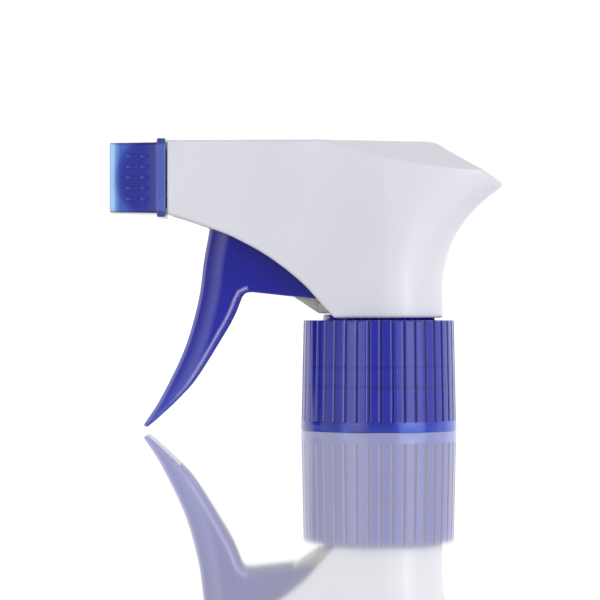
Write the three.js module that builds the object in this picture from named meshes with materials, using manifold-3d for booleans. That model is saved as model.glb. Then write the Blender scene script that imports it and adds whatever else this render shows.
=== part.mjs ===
// Trigger spray head for a 28 mm bottle neck. Millimetres, +Z up.
// The origin is on the axis of the screw closure, in the plane of its lower rim.
// The nozzle sprays along -X and the tail of the shroud points along +X.
import * as THREE from 'three';
import { mergeVertices } from 'three/addons/utils/BufferGeometryUtils.js';
import Module from 'manifold-3d';

const wasm = await Module();
wasm.setup();

// Clearances.
const GAP = 0.3; // between fixed neighbours
const RUN = 0.08; // radial, shaft in a turning hole

// Screw closure.
const CLOSURE_H = 24.1;
const BAND_H = 2.3; // plain band at the lower rim
const CLOSURE_R_BASE = 17.0;
const CLOSURE_R_TOP = 16.55;
const GRIP_COUNT = 40; // flat grip panels round the skirt
const GROOVE_DEPTH = 0.5; // narrow grooves between the panels
const GRIP_TOP = 23.3;
const BORE_R = 14.1; // thread root
const CREST_R = 12.85; // thread crest
const THREAD_PITCH = 4.23; // six turns per inch
const THREAD_Z = 6.0;
const THREAD_TURNS = 2.25;
const THREAD_ROOT_W = 2.3;
const THREAD_CREST_W = 0.9;
const CEILING_Z = 22.5; // underside of the top wall
const BOSS_R = 12.2;
const BOSS_TOP = 25.3;

// Tube adapter, which holds the closure on and takes the dip tube.
const NECK_R = 9.2;
const NECK_TOP = 26.8;
const FLANGE_R = 12.4;
const FLANGE_Z = 20.9;
const SPIGOT_R = 4.3;
const SPIGOT_Z = 14.0;
const SOCKET_R = 3.1;
const SOCKET_TOP = 23.0;
const THROAT_R = 1.5;
const CUP_R = 2.35; // ball cup above the throat
const SEAT_Z = 25.8;

// Sealing ring under the flange.
const GASKET_R = 13.7;
const GASKET_HOLE_R = 9.6;
const GASKET_Z = 19.5;

// Pump body: drum, stem, barrel and pump cylinder.
const DRUM_R = 12.4;
const DRUM_Z = BOSS_TOP + GAP;
const DRUM_TOP = 28.5;
const LUG_X = -13.3;
const LUG_HALF = 5.0;
const LUG_TOP = 27.9;
const STEM_R = 4.5;
const STEM_TOP = 59.3;
const WATERWAY_R = 1.8;
const BARREL_R = 4.0;
const BARREL_Z = 55.0;
const BARREL_FRONT = -52.0;
const BARREL_BACK = 3.0;
const VALVE_X = -38.0; // outlet valve seat
const VALVE_BORE_R = 1.6;
const CHAMBER_R = 2.5;
const CYLINDER_Z = 38.0;
const CYLINDER_R = 6.6;
const CYLINDER_BORE_R = 5.5;
const CYLINDER_FRONT = -23.2;
const CYLINDER_END = -5.2;
const RIDGE_X = -48.9; // snap ridge for the nozzle
const RIDGE_R = 4.4;
const GROOVE_X = [-51.3, -50.2]; // seal groove
const GROOVE_R = 3.3;

// Trigger.
const PIVOT = [-40.0, 57.2];
const PIN_R = 1.6;
const PIN_HALF = 6.9;
const BOSS_HALF = 5.7;
const EAR_R = 3.4;
const EAR_HALF = [6.0, 7.15]; // inner and outer faces of the ears
const TRIGGER_HALF = 8.0;
const CHANNEL_HALF = 6.9;
const PUSHER = [-31.6, 36.0];
const PUSHER_R = 1.3;

// Piston.
const ROD_FRONT = -30.0;
const ROD_BACK = -19.4;
const ROD_HEAD_R = 4.0;
const ROD_R = 2.9;
const NOSE_R = 2.2;
const SPRING_R = 3.7;
const SPRING_WIRE_R = 0.4;
const SPRING_X = [-19.6, -5.7];
const SPRING_COILS = 6;

// Valves.
const INLET_BALL_R = 2.0;
const OUTLET_BALL_R = 2.2;
const SEAT_GAP = 0.1;
const BALL_LIFT = 1.0;

// Shroud.
const WALL = 1.2;
const SHROUD_FRONT = -46.0;
const SHROUD_TOP = 63.1;
const SHROUD_BOTTOM = 24.9;
const SHROUD_FRONT_HALF = 8.55;
const NECK_WRAP_R = 13.95;
const TAIL_X = 27.1;
const TAIL_Z = 53.7;
const TAIL_HALF = 11.0;
const SWEEP_C = [38.3, 31.5]; // centre of the hand rest's arc
const SWEEP_R = 24.3;

// Nozzle.
const NOZZLE_FRONT = -58.4;
const NOZZLE_BACK = -46.3;
const NOZZLE_FLANGE_X = -48.2;
const NOZZLE_HALF = [7.55, 7.7]; // front, back
const FLANGE_HALF = 8.55;
const CORNER_R = 1.2;
const SHELL_WALL = 1.2;
const FRONT_WALL = 2.0;
const CORE_R = 5.6;
const CORE_BACK = -47.0;
const ORIFICE_R = 0.5;

// Geometry to a boolean solid, with its faces turned outwards.
function solid(geometry) {
  const g = geometry.clone();
  g.deleteAttribute('normal');
  g.deleteAttribute('uv');
  const merged = mergeVertices(g, 1e-4);
  const p = merged.attributes.position.array;
  const tri = Uint32Array.from(merged.index.array);
  let volume = 0;
  const at = (i) => new THREE.Vector3(p[3 * i], p[3 * i + 1], p[3 * i + 2]);
  for (let t = 0; t < tri.length; t += 3) {
    volume += at(tri[t]).dot(at(tri[t + 1]).cross(at(tri[t + 2])));
  }
  if (volume < 0) {
    for (let t = 0; t < tri.length; t += 3) {
      [tri[t + 1], tri[t + 2]] = [tri[t + 2], tri[t + 1]];
    }
  }
  return new wasm.Manifold(
    new wasm.Mesh({ numProp: 3, vertProperties: Float32Array.from(p), triVerts: tri }),
  );
}

// Boolean solid back to drawable geometry.
function surface(body) {
  const mesh = body.getMesh();
  const g = new THREE.BufferGeometry();
  g.setAttribute('position', new THREE.BufferAttribute(mesh.vertProperties, 3));
  g.setIndex(new THREE.BufferAttribute(mesh.triVerts, 1));
  const flat = g.toNonIndexed();
  flat.computeVertexNormals();
  return flat;
}

const union = (...parts) => parts.reduce((a, b) => a.add(b));
const cut = (body, ...tools) => tools.reduce((a, b) => a.subtract(b), body);

function box(x0, x1, y0, y1, z0, z1) {
  const g = new THREE.BoxGeometry(x1 - x0, y1 - y0, z1 - z0);
  g.translate((x0 + x1) / 2, (y0 + y1) / 2, (z0 + z1) / 2);
  return solid(g);
}

// Turned body. The profile is [radius, height] pairs; the axis is Z at the origin.
function turnedZ(profile, segments = 48) {
  const g = new THREE.LatheGeometry(profile.map((q) => new THREE.Vector2(...q)), segments);
  g.rotateX(Math.PI / 2);
  return solid(g);
}

// Turned body about a line along X at height z.
function turnedX(profile, z, segments = 32) {
  const g = new THREE.LatheGeometry(profile.map((q) => new THREE.Vector2(...q)), segments);
  g.rotateZ(-Math.PI / 2);
  g.translate(0, 0, z);
  return solid(g);
}

const discZ = (r, z0, z1, segments) => turnedZ([[0, z0], [r, z0], [r, z1], [0, z1]], segments);
const discX = (r, x0, x1, z, segments) =>
  turnedX([[0, x0], [r, x0], [r, x1], [0, x1]], z, segments);

// Round bar along Y at (x, z).
function barY(r, x, z, y0, y1, segments = 24) {
  const g = new THREE.CylinderGeometry(r, r, y1 - y0, segments);
  g.translate(x, (y0 + y1) / 2, z);
  return solid(g);
}

// Side outline in X and Z, as a slab between two Y planes.
function slab(shape, y0, y1, curveSegments = 8) {
  const g = new THREE.ExtrudeGeometry(shape, { depth: y1 - y0, bevelEnabled: false, curveSegments });
  g.rotateX(Math.PI / 2);
  g.translate(0, y1, 0);
  return solid(g);
}

// Skin over closed loops with equal point counts, closed by a fan at each end.
function loft(loops) {
  const n = loops[0].length;
  const position = [];
  const index = [];
  loops.forEach((loop) => loop.forEach((q) => position.push(...q)));
  for (let k = 0; k + 1 < loops.length; k += 1) {
    for (let i = 0; i < n; i += 1) {
      const a = k * n + i;
      const b = k * n + ((i + 1) % n);
      index.push(a, b, a + n, b, b + n, a + n);
    }
  }
  [0, loops.length - 1].forEach((k, end) => {
    const centre = [0, 1, 2].map((c) => loops[k].reduce((s, q) => s + q[c] / n, 0));
    const hub = position.length / 3;
    position.push(...centre);
    for (let i = 0; i < n; i += 1) {
      const a = k * n + i;
      const b = k * n + ((i + 1) % n);
      index.push(hub, end ? a : b, end ? b : a);
    }
  });
  const g = new THREE.BufferGeometry();
  g.setAttribute('position', new THREE.Float32BufferAttribute(position, 3));
  g.setIndex(index);
  return solid(g);
}

// Thick slab lying on the plane through a, b and c, on its outward side.
function planeCutter(a, b, c, size = 90) {
  const u = new THREE.Vector3().subVectors(b, a).normalize();
  const n = new THREE.Vector3().crossVectors(u, new THREE.Vector3().subVectors(c, a)).normalize();
  const v = new THREE.Vector3().crossVectors(n, u);
  const g = new THREE.BoxGeometry(size, size, size);
  g.translate(0, 0, size / 2);
  g.applyMatrix4(new THREE.Matrix4().makeBasis(u, v, n).setPosition(a));
  return solid(g);
}

class Coil extends THREE.Curve {
  constructor(radius, x0, x1, coils, z) {
    super();
    Object.assign(this, { radius, x0, x1, coils, z });
  }

  getPoint(t) {
    const a = t * this.coils * 2 * Math.PI;
    const x = this.x0 + (this.x1 - this.x0) * t;
    return new THREE.Vector3(x, this.radius * Math.cos(a), this.z + this.radius * Math.sin(a));
  }
}

// Round-wire compression spring along X.
function spring(radius, wire, span, coils, z) {
  const section = new THREE.Shape();
  section.absarc(0, 0, wire, 0, 2 * Math.PI, false);
  const path = new Coil(radius, span[0] + wire, span[1] - wire, coils, z);
  const g = new THREE.ExtrudeGeometry(section, {
    extrudePath: path,
    steps: coils * 12,
    curveSegments: 3,
    bevelEnabled: false,
  });
  return solid(g);
}

function ball(radius, x, z) {
  const g = new THREE.SphereGeometry(radius, 20, 12);
  g.translate(x, 0, z);
  return solid(g);
}

// Height of a ball's centre above the edge of the hole it sits on.
const seatHeight = (ballR, holeR) => Math.sqrt(ballR ** 2 - holeR ** 2) + SEAT_GAP;

// Square with rounded corners in the plane at x, centred on the barrel's axis.
function squareLoop(x, half, corner = CORNER_R, perCorner = 5) {
  const loop = [];
  [[1, 1], [-1, 1], [-1, -1], [1, -1]].forEach(([sy, sz], k) => {
    for (let i = 0; i < perCorner; i += 1) {
      const a = (k + i / (perCorner - 1)) * (Math.PI / 2);
      const y = sy * (half - corner) + corner * Math.cos(a);
      const z = sz * (half - corner) + corner * Math.sin(a);
      loop.push([x, y, BARREL_Z + z]);
    }
  });
  return loop;
}

// ---- Screw closure ----

function gripLoop(z, tipR) {
  const loop = [];
  const pitch = (2 * Math.PI) / GRIP_COUNT;
  const marks = [[-0.44, -GROOVE_DEPTH], [-0.37, 0], [0.37, 0], [0.44, -GROOVE_DEPTH]];
  for (let i = 0; i < GRIP_COUNT; i += 1) {
    marks.forEach(([f, dr]) => {
      const a = (i + f) * pitch;
      loop.push([(tipR + dr) * Math.cos(a), (tipR + dr) * Math.sin(a), z]);
    });
  }
  return loop;
}

function threadSolid() {
  const stepsPerTurn = 24;
  const steps = Math.round(stepsPerTurn * THREAD_TURNS);
  const fade = 5;
  const loops = [];
  for (let i = 0; i <= steps; i += 1) {
    const a = (i / stepsPerTurn) * 2 * Math.PI;
    const z = THREAD_Z + (i / stepsPerTurn) * THREAD_PITCH;
    const rise = Math.min(1, (i + 0.5) / fade, (steps - i + 0.5) / fade);
    const crest = BORE_R + (CREST_R - BORE_R) * rise;
    const root = BORE_R + GAP * 2;
    const section = [
      [root, -THREAD_ROOT_W / 2],
      [root, THREAD_ROOT_W / 2],
      [crest, THREAD_CREST_W / 2],
      [crest, -THREAD_CREST_W / 2],
    ];
    loops.push(section.map(([r, dz]) => [r * Math.cos(a), r * Math.sin(a), z + dz]));
  }
  return loft(loops);
}

function closureSolid() {
  const edge = 0.6;
  const skirtR = CLOSURE_R_TOP - GROOVE_DEPTH;
  const outer = union(
    turnedZ([
      [0, 0],
      [CLOSURE_R_BASE - 0.3, 0],
      [CLOSURE_R_BASE, 0.3],
      [CLOSURE_R_BASE, BAND_H - 0.3],
      [CLOSURE_R_BASE - 0.3, BAND_H],
      [0, BAND_H],
    ]),
    loft([gripLoop(BAND_H - 0.4, CLOSURE_R_BASE - 0.05), gripLoop(GRIP_TOP, CLOSURE_R_TOP)]),
    turnedZ([
      [0, BAND_H],
      [skirtR, BAND_H],
      [skirtR + 0.25, GRIP_TOP - 0.3],
      [skirtR + 0.25, CLOSURE_H - edge],
      [skirtR + 0.25 - edge, CLOSURE_H],
      [0, CLOSURE_H],
    ]),
    discZ(BOSS_R, CLOSURE_H - 0.5, BOSS_TOP),
  );
  const bore = turnedZ([
    [0, -1],
    [BORE_R + 0.8, -1],
    [BORE_R + 0.6, 0],
    [BORE_R, 0.9],
    [BORE_R, CEILING_Z],
    [0, CEILING_Z],
  ]);
  const hole = discZ(NECK_R + RUN, CEILING_Z - 1, BOSS_TOP + 1);
  return union(cut(outer, bore, hole), threadSolid());
}

// ---- Tube adapter and sealing ring ----

function adapterSolid() {
  return turnedZ([
    [SOCKET_R + 0.4, SPIGOT_Z],
    [SPIGOT_R, SPIGOT_Z],
    [SPIGOT_R, FLANGE_Z],
    [FLANGE_R, FLANGE_Z],
    [FLANGE_R, CEILING_Z - GAP],
    [NECK_R, CEILING_Z - GAP],
    [NECK_R, NECK_TOP],
    [CUP_R, NECK_TOP],
    [CUP_R, SEAT_Z],
    [THROAT_R, SEAT_Z],
    [THROAT_R, SOCKET_TOP],
    [SOCKET_R, SOCKET_TOP],
    [SOCKET_R, SPIGOT_Z + 0.5],
    [SOCKET_R + 0.4, SPIGOT_Z],
  ]);
}

function gasketSolid() {
  const top = FLANGE_Z - GAP;
  return turnedZ([
    [GASKET_HOLE_R, GASKET_Z],
    [GASKET_R, GASKET_Z],
    [GASKET_R, top],
    [GASKET_HOLE_R, top],
    [GASKET_HOLE_R, GASKET_Z],
  ]);
}

// ---- Pump body ----

function bodySolid() {
  const ballTop = SEAT_Z + seatHeight(INLET_BALL_R, THROAT_R) + BALL_LIFT;
  const stopZ = ballTop + seatHeight(INLET_BALL_R, WATERWAY_R);
  const gusset = new THREE.Shape();
  gusset.moveTo(-19.6, 33.0);
  gusset.lineTo(-19.6, 30.6);
  gusset.lineTo(-18.3, 29.0);
  gusset.lineTo(-13.7, 26.0);
  gusset.lineTo(-6.0, 26.0);
  gusset.lineTo(-2.0, 33.0);
  const brace = new THREE.Shape();
  brace.moveTo(-1.0, 44.0);
  brace.lineTo(-15.0, 44.0);
  brace.lineTo(-32.0, 52.5);
  brace.lineTo(-1.0, 52.5);
  const outer = union(
    discZ(DRUM_R, DRUM_Z, DRUM_TOP),
    box(LUG_X, -8, -LUG_HALF, LUG_HALF, DRUM_Z, LUG_TOP),
    discZ(STEM_R, DRUM_Z + 1, STEM_TOP, 32),
    discX(CYLINDER_R, CYLINDER_FRONT, CYLINDER_END + 2.2, CYLINDER_Z),
    slab(gusset, -3.2, 3.2),
    slab(brace, -0.8, 0.8),
    discX(BARREL_R, BARREL_FRONT, BARREL_BACK, BARREL_Z),
    turnedX(
      [
        [0, RIDGE_X - 0.35],
        [BARREL_R, RIDGE_X - 0.35],
        [RIDGE_R, RIDGE_X],
        [BARREL_R, RIDGE_X + 0.35],
        [0, RIDGE_X + 0.35],
      ],
      BARREL_Z,
    ),
    barY(EAR_R - 0.6, ...PIVOT, -BOSS_HALF, BOSS_HALF),
    barY(PIN_R, ...PIVOT, -PIN_HALF, PIN_HALF),
    box(-9, 1, -0.8, 0.8, STEM_TOP - 2, SHROUD_TOP - WALL - GAP),
  );
  const groove = turnedX(
    [
      [GROOVE_R, GROOVE_X[0]],
      [BARREL_R + 1, GROOVE_X[0]],
      [BARREL_R + 1, GROOVE_X[1]],
      [GROOVE_R, GROOVE_X[1]],
      [GROOVE_R, GROOVE_X[0]],
    ],
    BARREL_Z,
  );
  return cut(
    outer,
    discZ(NECK_R + GAP, DRUM_Z - 1, NECK_TOP + GAP),
    discZ(CUP_R, NECK_TOP, stopZ, 24),
    discZ(WATERWAY_R, stopZ - 0.5, BARREL_Z, 20),
    discX(VALVE_BORE_R, VALVE_X - 0.5, 0, BARREL_Z, 24),
    discX(CHAMBER_R, BARREL_FRONT - 1, VALVE_X, BARREL_Z, 24),
    discX(CYLINDER_BORE_R, CYLINDER_FRONT - 1, CYLINDER_END, CYLINDER_Z),
    discX(1.0, CYLINDER_END - 0.5, 0, CYLINDER_Z - 3, 16),
    groove,
  );
}

// ---- Trigger ----

// Ear that joins each side plate to its pivot.
function earOutline() {
  const s = new THREE.Shape();
  s.moveTo(-37.0, 44.0);
  s.lineTo(-31.0, 42.0);
  s.lineTo(-30.5, 46.0);
  s.lineTo(-33.0, 50.0);
  s.lineTo(PIVOT[0] + EAR_R, PIVOT[1]);
  s.absarc(...PIVOT, EAR_R, 0, Math.PI, false);
  s.lineTo(-38.6, 49.0);
  return s;
}

function triggerOutline() {
  const s = new THREE.Shape();
  s.moveTo(-50.3, 0.9);
  s.lineTo(-48.4, 2.5);
  s.splineThru([[-44.0, 6.6], [-39.9, 11.3], [-34.0, 20.7], [-31.7, 24.8], [-30.2, 28.4]]
    .map((q) => new THREE.Vector2(...q)));
  s.quadraticCurveTo(-29.6, 30.3, -27.6, 30.2);
  s.lineTo(-18.5, 29.2);
  s.lineTo(-13.4, 28.8);
  s.lineTo(-13.4, 31.5);
  s.lineTo(-24.0, 40.0);
  s.lineTo(-31.5, 47.6);
  s.lineTo(-37.3, 47.6);
  s.lineTo(-36.9, 44.5);
  s.splineThru([[-37.4, 42.4], [-38.4, 37.1], [-39.6, 28.4], [-42.6, 17.9], [-47.6, 7.4], [-51.0, 1.9]]
    .map((q) => new THREE.Vector2(...q)));
  s.quadraticCurveTo(-51.3, 0.9, -50.3, 0.9);
  return s;
}

function triggerSolid() {
  const channel = new THREE.Shape();
  channel.moveTo(-60, 47.5);
  channel.lineTo(-35.4, 47.5);
  channel.splineThru([[-35.8, 42.9], [-36.8, 37.1], [-38.0, 28.4], [-41.0, 18.2], [-45.6, 8.8]]
    .map((q) => new THREE.Vector2(...q)));
  channel.lineTo(-45.0, 7.6);
  channel.lineTo(-20, 7.6);
  channel.lineTo(0, 20);
  channel.lineTo(0, 70);
  channel.lineTo(-60, 70);
  const shell = cut(
    slab(triggerOutline(), -TRIGGER_HALF, TRIGGER_HALF, 6),
    slab(channel, -CHANNEL_HALF, CHANNEL_HALF, 6),
  );
  const spine = new THREE.Shape();
  spine.moveTo(-47.6, 6.0);
  spine.lineTo(-42.6, 9.5);
  spine.lineTo(-34.5, 23.0);
  spine.lineTo(-34.0, 32.0);
  spine.lineTo(-37.6, 32.0);
  spine.lineTo(-41.8, 17.9);
  return union(
    shell,
    slab(earOutline(), EAR_HALF[0], EAR_HALF[1]),
    slab(earOutline(), -EAR_HALF[1], -EAR_HALF[0]),
    slab(spine, -0.6, 0.6),
    barY(PUSHER_R, ...PUSHER, -CHANNEL_HALF - 0.5, CHANNEL_HALF + 0.5),
  ).subtract(barY(PIN_R + RUN, ...PIVOT, -TRIGGER_HALF - 1, TRIGGER_HALF + 1));
}

// ---- Piston ----

function rodSolid() {
  return turnedX(
    [
      [0, ROD_FRONT],
      [ROD_HEAD_R, ROD_FRONT],
      [ROD_HEAD_R, ROD_FRONT + 1.2],
      [ROD_R, ROD_FRONT + 1.6],
      [ROD_R, -23.9],
      [4.6, -23.7],
      [4.6, -22.9],
      [NOSE_R, -22.9],
      [NOSE_R, ROD_BACK - 0.4],
      [NOSE_R - 0.4, ROD_BACK],
      [0, ROD_BACK],
    ],
    CYLINDER_Z,
  );
}

function cupSolid() {
  const r = CYLINDER_BORE_R - RUN;
  const hub = NOSE_R + GAP;
  return turnedX(
    [
      [hub, -22.6],
      [r - 0.3, -22.6],
      [r, -22.1],
      [r - 0.3, -21.2],
      [r - 0.3, -19.6],
      [r, -18.2],
      [r - 0.6, -18.2],
      [r - 0.9, -20.2],
      [hub, -20.2],
      [hub, -22.6],
    ],
    CYLINDER_Z,
  );
}

// ---- Outlet insert ----

function insertSolid() {
  const r = CHAMBER_R - 0.2;
  const head = 3.2;
  const body = turnedX(
    [
      [0, -53.6],
      [head, -53.6],
      [head, BARREL_FRONT - GAP],
      [r, BARREL_FRONT - GAP],
      [r, -46.0],
      [0, -46.0],
    ],
    BARREL_Z,
    24,
  );
  const slots = [];
  for (let k = 0; k < 3; k += 1) {
    const g = new THREE.BoxGeometry(9, 0.9, 1.2);
    g.translate(-50, 0, head);
    g.rotateX((k * 2 * Math.PI) / 3);
    g.translate(0, 0, BARREL_Z);
    slots.push(solid(g));
    const side = new THREE.BoxGeometry(9, 0.9, 1.2);
    side.translate(-50, 0, r);
    side.rotateX((k * 2 * Math.PI) / 3);
    side.translate(0, 0, BARREL_Z);
    slots.push(solid(side));
  }
  return cut(body, ...slots);
}

function sealSolid() {
  const wire = 0.33;
  const g = new THREE.TorusGeometry(GROOVE_R + 0.09 + wire, wire, 8, 32);
  g.rotateY(Math.PI / 2);
  g.translate((GROOVE_X[0] + GROOVE_X[1]) / 2, 0, BARREL_Z);
  return solid(g);
}

// ---- Nozzle ----

function nozzleSolid() {
  const shellInner = NOZZLE_HALF[0] - SHELL_WALL;
  const frontInner = NOZZLE_FRONT + FRONT_WALL;
  const shell = cut(
    union(
      loft([
        squareLoop(NOZZLE_FRONT, NOZZLE_HALF[0] - 0.3),
        squareLoop(NOZZLE_FRONT + 0.3, NOZZLE_HALF[0]),
        squareLoop(NOZZLE_FLANGE_X + 0.2, NOZZLE_HALF[1]),
      ]),
      loft([squareLoop(NOZZLE_FLANGE_X, FLANGE_HALF), squareLoop(NOZZLE_BACK, FLANGE_HALF)]),
    ),
    loft([squareLoop(frontInner, shellInner, 0.5), squareLoop(NOZZLE_BACK + 1, shellInner, 0.5)]),
  );
  const bore = turnedX(
    [
      [0, frontInner + 0.4],
      [BARREL_R + RUN, frontInner + 0.4],
      [BARREL_R + RUN, RIDGE_X - 0.5],
      [RIDGE_R + 0.2, RIDGE_X - 0.2],
      [RIDGE_R + 0.2, RIDGE_X + 0.2],
      [BARREL_R + RUN, RIDGE_X + 0.5],
      [BARREL_R + RUN, CORE_BACK + 1],
      [0, CORE_BACK + 1],
    ],
    BARREL_Z,
  );
  const icon = [];
  [-1, 1].forEach((side) => {
    [-1, 0, 1].forEach((k) => {
      const g = new THREE.BoxGeometry(4.6, 0.8, 0.8);
      g.translate(-2.9, 0, 0);
      g.rotateY((k * 24 * Math.PI) / 180);
      g.translate(-50.0, side * (NOZZLE_HALF[0] + 0.05), BARREL_Z);
      icon.push(solid(g));
    });
  });
  return cut(
    union(shell, discX(CORE_R, frontInner - 0.5, CORE_BACK, BARREL_Z), ...icon),
    bore,
    discX(3.4, NOZZLE_FRONT - 1, NOZZLE_FRONT + 0.8, BARREL_Z),
    discX(ORIFICE_R, NOZZLE_FRONT - 1, frontInner + 1, BARREL_Z, 12),
  );
}

// ---- Shroud ----

// Rear reach of the shroud at height z.
function rearReach(z) {
  if (z <= SWEEP_C[1]) {
    return SWEEP_C[0] - SWEEP_R;
  }
  if (z >= TAIL_Z) {
    return TAIL_X;
  }
  const dz = z - SWEEP_C[1];
  return Math.min(TAIL_X, SWEEP_C[0] - Math.sqrt(SWEEP_R ** 2 - dz ** 2));
}

// Horizontal section: a wedge from the front plate to a rounded back.
function shroudLoop(z, inset) {
  const reach = rearReach(z) - inset;
  const r = NECK_WRAP_R - inset;
  const lift = Math.max(0, Math.min(1, (z - SWEEP_C[1]) / (TAIL_Z - SWEEP_C[1])));
  const power = 1 - 0.35 * lift;
  const halfTurns = 12;
  const loop = [];
  for (let i = -halfTurns; i <= halfTurns; i += 1) {
    const a = (i / halfTurns) * (Math.PI / 2);
    const c = Math.cos(a) ** power;
    const s = Math.sign(a) * Math.abs(Math.sin(a)) ** power;
    const squeeze = 1 - (1 - TAIL_HALF / NECK_WRAP_R) * lift * c;
    loop.push([reach * c, r * s * squeeze, z]);
  }
  const front = SHROUD_FRONT + inset;
  const half = SHROUD_FRONT_HALF - inset;
  loop.push([front, half, z]);
  loop.push([front, -half, z]);
  return loop;
}

function shroudOutline(inset) {
  const top = SHROUD_TOP - inset;
  const r = SWEEP_R + inset;
  const arcRise = inset > 0 ? 21.0 : 21.24;
  const tail = Math.PI - Math.asin(arcRise / r);
  const edge = inset > 0 ? 0.01 : 0.5;
  const s = new THREE.Shape();
  s.moveTo(SHROUD_FRONT + inset, 47.1);
  if (inset > 0) {
    s.lineTo(SHROUD_FRONT + inset, 10);
    s.lineTo(SWEEP_C[0] - r, 10);
  } else {
    s.splineThru([[-41.9, 45.9], [-36.8, 44.1], [-31.7, 42.1], [-24.1, 37.9], [-17.0, 32.4], [-12.9, 28.0]]
      .map((q) => new THREE.Vector2(...q)));
    s.lineTo(-10.6, 25.4);
    s.quadraticCurveTo(-10.2, SHROUD_BOTTOM, -9.6, SHROUD_BOTTOM);
    s.lineTo(SWEEP_C[0] - r + 0.1, SHROUD_BOTTOM);
  }
  s.lineTo(SWEEP_C[0] - r, SWEEP_C[1]);
  s.absarc(SWEEP_C[0], SWEEP_C[1], r, Math.PI, tail, true);
  if (inset > 0) {
    s.lineTo(24.3, 54.45);
  } else {
    s.lineTo(TAIL_X, TAIL_Z);
    s.lineTo(26.4, 54.6);
  }
  s.lineTo(14.7 - inset * 0.6, 61.6 - inset);
  s.quadraticCurveTo(12.6 - inset * 0.5, top, 10.8 - inset * 0.5, top);
  s.lineTo(SHROUD_FRONT + inset + edge, top);
  s.lineTo(SHROUD_FRONT + inset, top - edge);
  return s;
}

function shroudForm(inset) {
  const levels = [10, 31.5, 35, 38, 41, 44, 46.5, 49, 51, 52.6, TAIL_Z, 70];
  const plan = loft(levels.map((z) => shroudLoop(z, inset)));
  return plan.intersect(slab(shroudOutline(inset), -30, 30));
}

function shroudSolid() {
  let outer = shroudForm(0);
  let inner = shroudForm(WALL);
  [-1, 1].forEach((side) => {
    const facet = (drop) => {
      const a = new THREE.Vector3(-12.8, side * 12.4, SHROUD_TOP - drop);
      const b = new THREE.Vector3(23.5, side * 11.6, 55.6 - drop);
      const c = new THREE.Vector3(8, side * 3.5, SHROUD_TOP - drop);
      return side < 0 ? planeCutter(a, b, c) : planeCutter(b, a, c);
    };
    outer = outer.subtract(facet(0));
    inner = inner.subtract(facet(WALL * 1.1));
  });
  return cut(outer, inner, discX(BARREL_R + GAP, SHROUD_FRONT - 1, SHROUD_FRONT + 3, BARREL_Z));
}

// ---- Assembly ----

const INLET_BALL_Z = SEAT_Z + seatHeight(INLET_BALL_R, THROAT_R);
const OUTLET_BALL_X = VALVE_X - seatHeight(OUTLET_BALL_R, VALVE_BORE_R);
const OUTLET_SPRING_X = [-45.85, OUTLET_BALL_X - 1.75];

const PARTS = [
  ['pump_body', bodySolid, 0xdad4d4, 0.45, 0],
  ['shroud', shroudSolid, 0xdcdde6, 0.3, 0],
  ['trigger', triggerSolid, 0x2c2f9c, 0.22, 0],
  ['piston_rod', rodSolid, 0xd8d8dc, 0.4, 0],
  ['piston_cup', cupSolid, 0xe6e6e2, 0.5, 0],
  ['piston_spring', () => spring(SPRING_R, SPRING_WIRE_R, SPRING_X, SPRING_COILS, CYLINDER_Z),
    0xb8bcc2, 0.3, 1],
  ['inlet_ball', () => ball(INLET_BALL_R, 0, INLET_BALL_Z), 0xc4c8ce, 0.15, 1],
  ['outlet_ball', () => ball(OUTLET_BALL_R, OUTLET_BALL_X, BARREL_Z), 0xc4c8ce, 0.15, 1],
  ['outlet_spring', () => spring(1.5, 0.2, OUTLET_SPRING_X, 4, BARREL_Z), 0xb8bcc2, 0.3, 1],
  ['swirl_insert', insertSolid, 0xe2e2e6, 0.4, 0],
  ['nozzle_seal', sealSolid, 0x2a2a2c, 0.7, 0],
  ['nozzle_cap', nozzleSolid, 0x3c49ac, 0.25, 0],
  ['tube_adapter', adapterSolid, 0xdad4d4, 0.45, 0],
  ['gasket', gasketSolid, 0xe8e6e0, 0.7, 0],
  ['closure', closureSolid, 0x33369c, 0.3, 0],
];

const sprayHead = new THREE.Group();
sprayHead.name = 'spray_head';
PARTS.forEach(([name, make, color, roughness, metalness]) => {
  const material = new THREE.MeshStandardMaterial({ color, roughness, metalness });
  const mesh = new THREE.Mesh(surface(make()), material);
  mesh.name = name;
  sprayHead.add(mesh);
});

export default sprayHead;
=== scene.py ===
# Looks of the trigger spray head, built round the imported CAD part. Lengths in the code
# are millimetres in the CAD frame: the closure's axis is Z and the spray goes along -X.
import math

import bmesh
import bpy
import numpy as np
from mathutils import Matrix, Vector


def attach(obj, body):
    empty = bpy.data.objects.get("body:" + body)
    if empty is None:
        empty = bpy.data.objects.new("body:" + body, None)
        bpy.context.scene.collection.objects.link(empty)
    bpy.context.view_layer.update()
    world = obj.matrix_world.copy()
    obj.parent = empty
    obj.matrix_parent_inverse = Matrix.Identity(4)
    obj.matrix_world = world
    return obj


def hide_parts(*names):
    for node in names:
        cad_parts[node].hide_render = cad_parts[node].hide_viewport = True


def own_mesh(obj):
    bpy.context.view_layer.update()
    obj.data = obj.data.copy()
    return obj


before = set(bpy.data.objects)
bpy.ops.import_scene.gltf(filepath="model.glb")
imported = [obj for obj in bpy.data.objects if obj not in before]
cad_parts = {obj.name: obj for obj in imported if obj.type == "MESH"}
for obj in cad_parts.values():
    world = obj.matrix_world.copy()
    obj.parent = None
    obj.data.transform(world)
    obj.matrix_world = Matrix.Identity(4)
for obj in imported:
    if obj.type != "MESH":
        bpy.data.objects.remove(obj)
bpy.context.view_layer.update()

MM = 0.001

# Camera: level, square to the side of the head.
CAMERA_AT = (-17.2, -740.0, 28.5)
LENS = 203.0
SENSOR = 36.0
SIGHT_M = 20.0

# Studio light: levels from the camera's side to the back wall, and how they fall off overhead.
STUDIO = [(0.0, 0.27), (0.3, 0.55), (0.48, 0.82), (0.66, 1.05), (1.0, 1.15)]
OVERHEAD = 0.7
OVERHEAD_RISE = (0.15, 0.8)
BACKDROP = 1.1

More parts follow.
